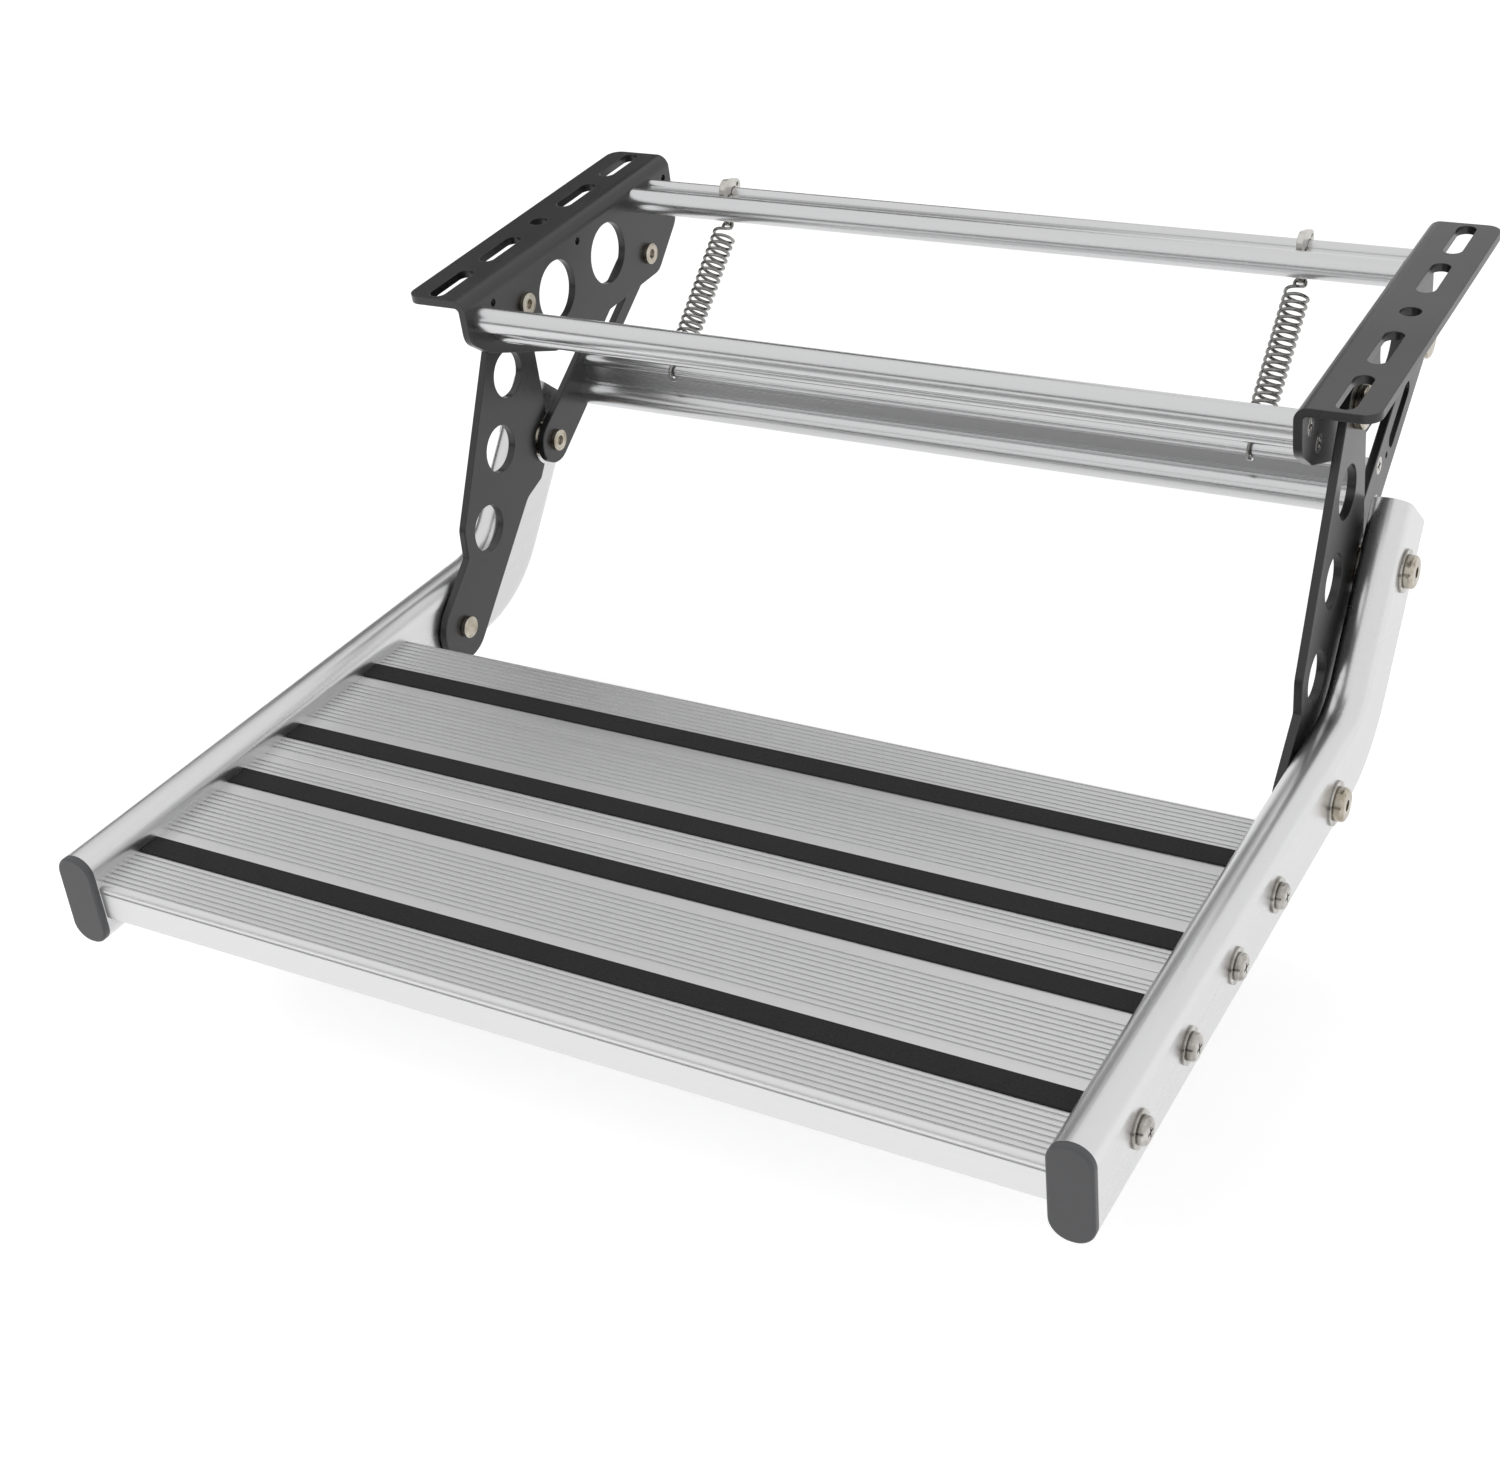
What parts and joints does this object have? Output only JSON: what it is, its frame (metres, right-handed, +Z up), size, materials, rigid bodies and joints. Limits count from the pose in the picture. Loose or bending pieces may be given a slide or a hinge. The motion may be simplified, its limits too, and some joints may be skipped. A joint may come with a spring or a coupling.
{
  "type": "folding step",
  "caption": "Fold-out caravan entrance step: a ribbed aluminium tread on two bent side rails, hung on a folding four-bar linkage with return springs under bolt-up brackets.",
  "frame": {"origin": "midway between the two mounting flanges, on their top plane, at the centre of the two middle flange holes", "axes": "+X across the doorway, towards the right as seen from the tread; +Y rearwards, from the tread towards the vehicle; +Z up, out of the flanges' top faces. Shown folded out."},
  "size_m": [0.6138, 0.6322, 0.2323],
  "materials": {
    "black_steel": "satin black powder coat",
    "anodised_aluminium": "satin natural anodised",
    "zinc_hardware": "zinc plated",
    "spring_steel": "zinc plated",
    "cap_plastic": "matte grey moulded",
    "strip_rubber": "matte black"
  },
  "bodies": {
    "chassis": {"mounting_bracket_left": "black_steel", "mounting_bracket_right": "black_steel", "front_crossbar": "anodised_aluminium", "rear_crossbar": "anodised_aluminium", "spring_lugs": "zinc_hardware", "bracket_screws": "zinc_hardware", "front_pivot_bolts": "zinc_hardware", "front_pivot_nuts": "zinc_hardware", "front_pivot_bushes": "black_steel", "rear_pivot_bolts": "zinc_hardware", "rear_pivot_nuts": "zinc_hardware", "rear_pivot_bushes": "black_steel"},
    "front_arms": {"front_arm_left": "black_steel", "front_arm_right": "black_steel"},
    "rear_frame": {"rear_arm_left": "black_steel", "rear_arm_right": "black_steel", "lower_crossbar": "anodised_aluminium", "lower_crossbar_screws": "zinc_hardware", "link_pins": "zinc_hardware"},
    "tread_frame": {"side_rail_left": "anodised_aluminium", "side_rail_right": "anodised_aluminium", "rail_cap_left": "cap_plastic", "rail_cap_right": "cap_plastic", "rail_rear_plugs": "cap_plastic", "front_tread_board": "anodised_aluminium", "rear_tread_board": "anodised_aluminium", "front_board_front_strip": "strip_rubber", "front_board_rear_strip": "strip_rubber", "rear_board_front_strip": "strip_rubber", "rear_board_rear_strip": "strip_rubber", "board_screws": "zinc_hardware", "board_screw_washers": "zinc_hardware", "tread_pivot_bolts": "zinc_hardware", "tread_pivot_nuts": "zinc_hardware", "link_bolts": "zinc_hardware", "link_spacers": "zinc_hardware", "rail_bolt_washers": "zinc_hardware"},
    "springs": {"return_springs": "spring_steel"}
  },
  "joints": [
    {"name": "fold", "type": "hinge", "parent": "chassis", "child": "front_arms", "pos_m": [0, -0.0618, -0.0279], "axis": [1, 0, 0], "range_deg": [0, 86.5]},
    {"name": "rear_swing", "type": "hinge", "parent": "chassis", "child": "rear_frame", "pos_m": [0, 0.0828, -0.055], "axis": [1, 0, 0], "range_deg": [0, 142.11]},
    {"name": "tread_pivot", "type": "hinge", "parent": "front_arms", "child": "tread_frame", "pos_m": [0, -0.1703, -0.2075], "axis": [1, 0, 0], "range_deg": [-87.4, 0]},
    {"name": "spring_swing", "type": "hinge", "parent": "chassis", "child": "springs", "pos_m": [0, 0.08989, -0.0288], "axis": [1, 0, 0], "range_deg": [0, 115.18], "deforming": ["return_springs"]}
  ],
  "couplings": [
    {"joint": "rear_swing", "follows": "fold", "ratio": 1.6427},
    {"joint": "tread_pivot", "follows": "fold", "ratio": -1.0102},
    {"joint": "spring_swing", "follows": "fold", "ratio": 1.3313}
  ]
}
